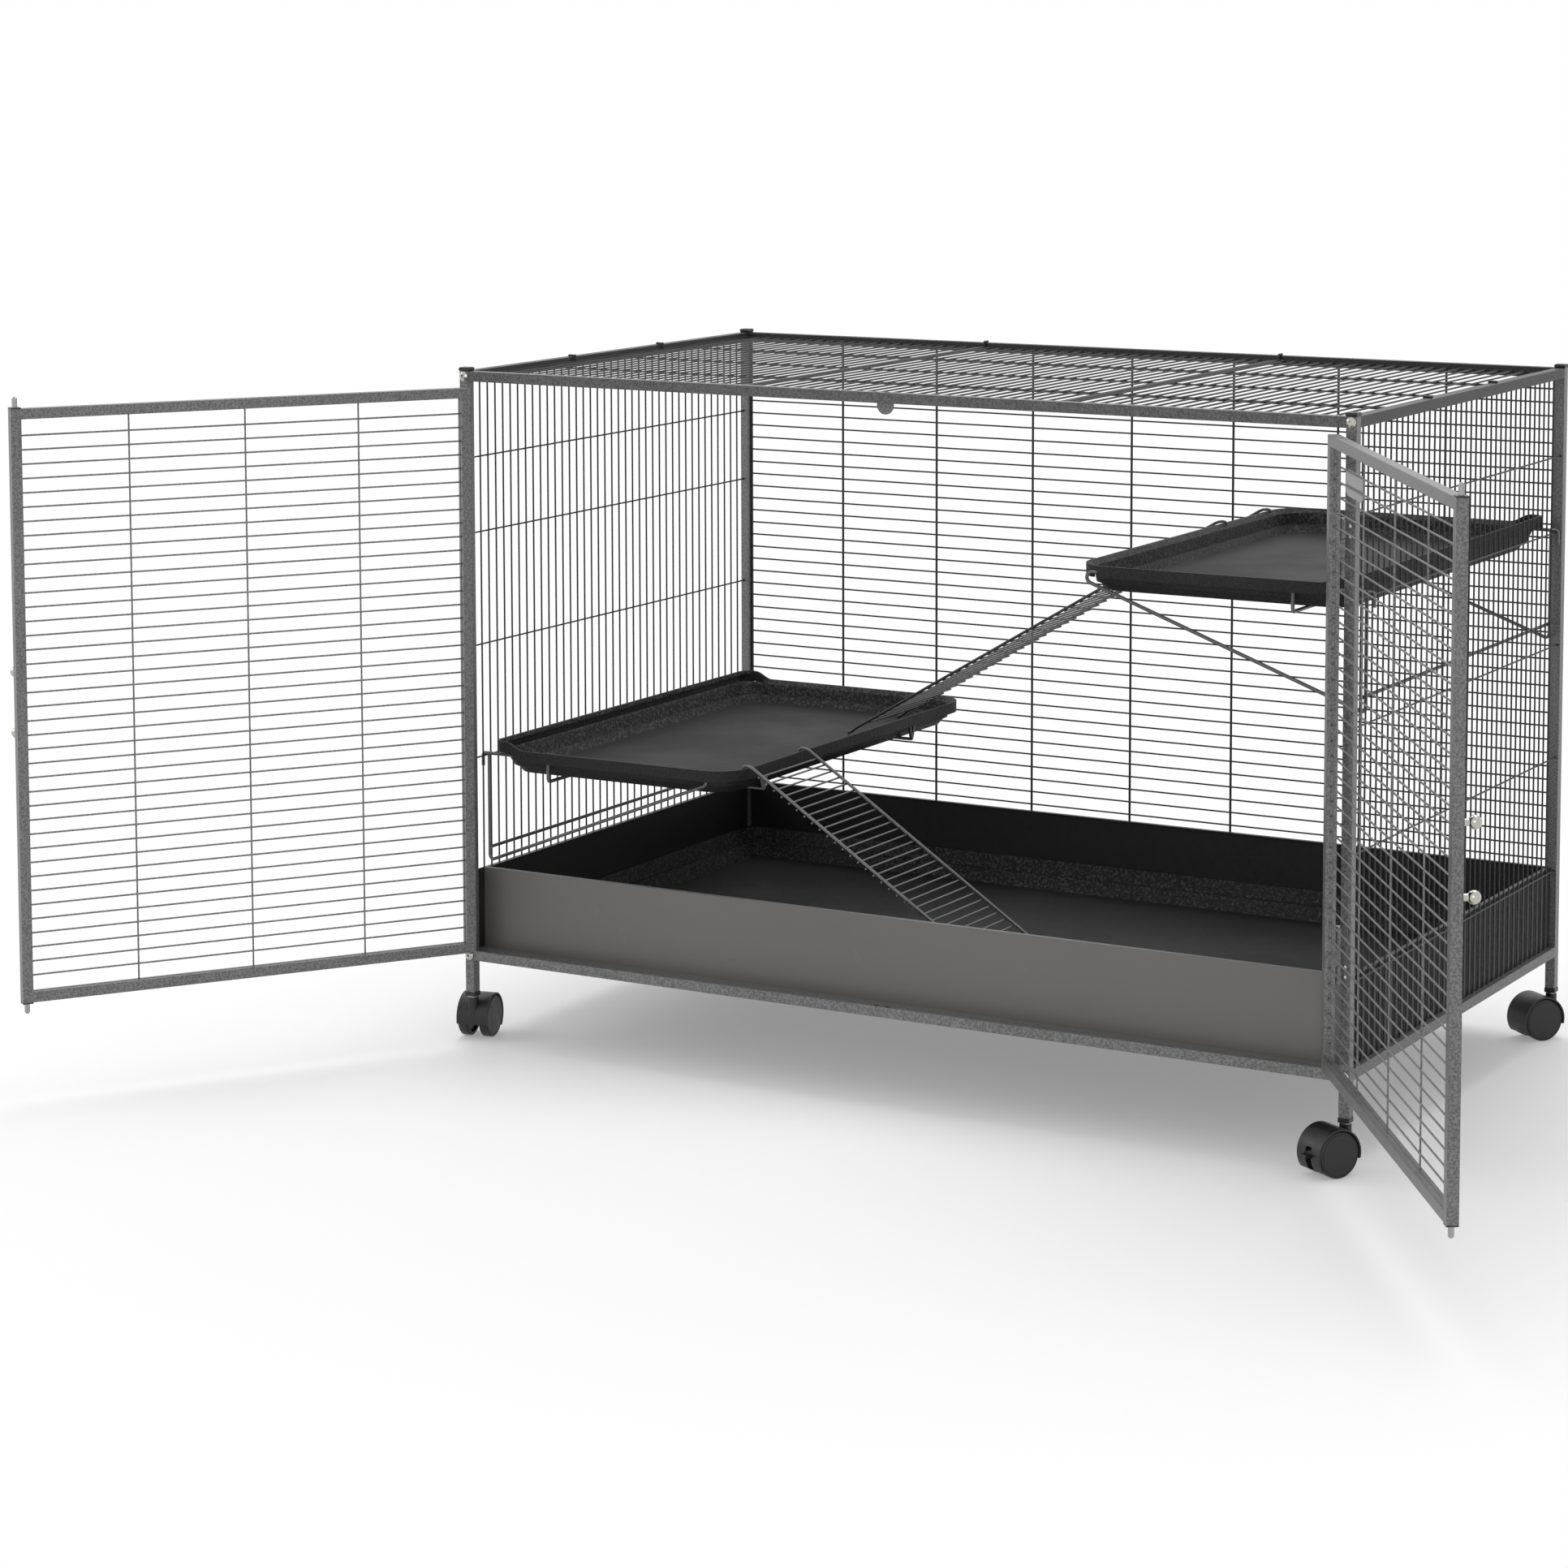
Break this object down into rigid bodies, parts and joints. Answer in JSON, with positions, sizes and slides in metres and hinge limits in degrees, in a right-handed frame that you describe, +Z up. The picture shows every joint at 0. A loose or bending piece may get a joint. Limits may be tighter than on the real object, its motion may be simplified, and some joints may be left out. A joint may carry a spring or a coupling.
{
  "type": "ferret cage",
  "caption": "Wire ferret cage on casters with two front doors that stand open, two hung platforms with ramps, sheet guards and a floor tray.",
  "frame": {"origin": "centre of the footprint on the floor", "axes": "+X to the right seen from the front, +Y to the back, +Z up"},
  "size_m": [1.7702, 1.1663, 0.8245],
  "materials": {
    "frame_paint": "hammertone, satin",
    "black_paint": "satin",
    "tray_plastic": "grained",
    "black_plastic": "satin",
    "nickel": "polished",
    "bright_wire": "satin",
    "steel": "bright",
    "plate": "satin"
  },
  "bodies": {
    "frame": {"front_left_post": "frame_paint", "front_right_post": "frame_paint", "rear_left_post": "frame_paint", "rear_right_post": "frame_paint", "post_caps": "black_plastic", "leg_sockets": "black_plastic", "front_top_rail": "frame_paint", "door_stop": "frame_paint", "front_bottom_rail": "frame_paint", "rear_panel": "frame_paint", "left_panel": "frame_paint", "right_panel": "frame_paint", "top_panel": "frame_paint", "frame_bolts": "nickel", "front_guard": "frame_paint", "rear_guard": "black_paint", "left_guard": "black_paint", "right_guard": "black_paint", "floor_tray": "tray_plastic", "left_platform": "tray_plastic", "right_platform": "tray_plastic", "left_bracket": "black_paint", "right_bracket": "black_paint", "low_ramp": "bright_wire", "high_ramp": "bright_wire", "left_frame_hinges": "frame_paint", "right_frame_hinges": "frame_paint", "hinge_pins": "steel", "hinge_screws": "nickel", "caster_stems": "steel"},
    "left_door_body": {"left_door": "frame_paint", "left_door_plugs": "black_plastic", "left_door_hinges": "frame_paint", "left_upper_spring": "steel", "left_lower_spring": "steel"},
    "right_door_body": {"right_door": "frame_paint", "right_door_plugs": "black_plastic", "right_door_hinges": "frame_paint", "right_upper_spring": "steel", "right_lower_spring": "steel", "door_plate": "plate"},
    "left_upper_latch": {"left_upper_latch_rod": "steel", "left_upper_knob": "nickel"},
    "left_lower_latch": {"left_lower_latch_rod": "steel", "left_lower_knob": "nickel"},
    "right_upper_latch": {"right_upper_latch_rod": "steel", "right_upper_knob": "nickel"},
    "right_lower_latch": {"right_lower_latch_rod": "steel", "right_lower_knob": "nickel"},
    "front_left_caster": {"front_left_hood": "black_plastic"},
    "front_left_wheel_pair": {"front_left_wheels": "black_plastic"},
    "front_left_brake_lever": {"front_left_brake": "black_plastic"},
    "front_right_caster": {"front_right_hood": "black_plastic"},
    "front_right_wheel_pair": {"front_right_wheels": "black_plastic"},
    "front_right_brake_lever": {"front_right_brake": "black_plastic"},
    "rear_right_caster": {"rear_right_hood": "black_plastic"},
    "rear_right_wheel_pair": {"rear_right_wheels": "black_plastic"},
    "rear_left_caster": {"rear_left_hood": "black_plastic"},
    "rear_left_wheel_pair": {"rear_left_wheels": "black_plastic"}
  },
  "joints": [
    {"name": "left_door_hinge", "type": "hinge", "parent": "frame", "child": "left_door_body", "pos_m": [-0.562, -0.3425, 0.46], "axis": [0, 0, -1], "range_deg": [-123.8, 56.2]},
    {"name": "right_door_hinge", "type": "hinge", "parent": "frame", "child": "right_door_body", "pos_m": [0.562, -0.3425, 0.46], "axis": [0, 0, 1], "range_deg": [-124.4, 55.6]},
    {"name": "left_upper_latch_slide", "type": "slide", "parent": "left_door_body", "child": "left_upper_latch", "axis": [0, 0, 1], "range_m": [-0.014, 0], "stiffness_N_per_m": 300, "springref_m": 0.01, "deforming": ["left_upper_spring"]},
    {"name": "left_lower_latch_slide", "type": "slide", "parent": "left_door_body", "child": "left_lower_latch", "axis": [0, 0, -1], "range_m": [-0.014, 0], "stiffness_N_per_m": 300, "springref_m": 0.01, "deforming": ["left_lower_spring"]},
    {"name": "right_upper_latch_slide", "type": "slide", "parent": "right_door_body", "child": "right_upper_latch", "axis": [0, 0, 1], "range_m": [-0.014, 0], "stiffness_N_per_m": 300, "springref_m": 0.01, "deforming": ["right_upper_spring"]},
    {"name": "right_lower_latch_slide", "type": "slide", "parent": "right_door_body", "child": "right_lower_latch", "axis": [0, 0, -1], "range_m": [-0.014, 0], "stiffness_N_per_m": 300, "springref_m": 0.01, "deforming": ["right_lower_spring"]},
    {"name": "front_left_swivel", "type": "hinge", "parent": "frame", "child": "front_left_caster", "pos_m": [-0.569, -0.3315, 0.045], "axis": [0, 0, 1], "continuous": true},
    {"name": "front_left_roll", "type": "hinge", "parent": "front_left_caster", "child": "front_left_wheel_pair", "pos_m": [-0.57357, -0.30998, 0.0255], "axis": [-0.9781, -0.2079, 0], "continuous": true},
    {"name": "front_left_brake_pedal", "type": "hinge", "parent": "front_left_caster", "child": "front_left_brake_lever", "pos_m": [-0.57711, -0.29335, 0.0285], "axis": [-0.9781, -0.2079, 0], "range_deg": [0, 14]},
    {"name": "front_right_swivel", "type": "hinge", "parent": "frame", "child": "front_right_caster", "pos_m": [0.569, -0.3315, 0.045], "axis": [0, 0, 1], "continuous": true},
    {"name": "front_right_roll", "type": "hinge", "parent": "front_right_caster", "child": "front_right_wheel_pair", "pos_m": [0.558, -0.35055, 0.0255], "axis": [0.866, -0.5, 0], "continuous": true},
    {"name": "front_right_brake_pedal", "type": "hinge", "parent": "front_right_caster", "child": "front_right_brake_lever", "pos_m": [0.5495, -0.36528, 0.0285], "axis": [0.866, -0.5, 0], "range_deg": [0, 14]},
    {"name": "rear_right_swivel", "type": "hinge", "parent": "frame", "child": "rear_right_caster", "pos_m": [0.569, 0.3315, 0.045], "axis": [0, 0, 1], "continuous": true},
    {"name": "rear_right_roll", "type": "hinge", "parent": "rear_right_caster", "child": "rear_right_wheel_pair", "pos_m": [0.55607, 0.3137, 0.0255], "axis": [0.809, -0.5878, 0], "continuous": true},
    {"name": "rear_left_swivel", "type": "hinge", "parent": "frame", "child": "rear_left_caster", "pos_m": [-0.569, 0.3315, 0.045], "axis": [0, 0, 1], "continuous": true},
    {"name": "rear_left_roll", "type": "hinge", "parent": "rear_left_caster", "child": "rear_left_wheel_pair", "pos_m": [-0.58, 0.31245, 0.0255], "axis": [0.866, -0.5, 0], "continuous": true}
  ]
}
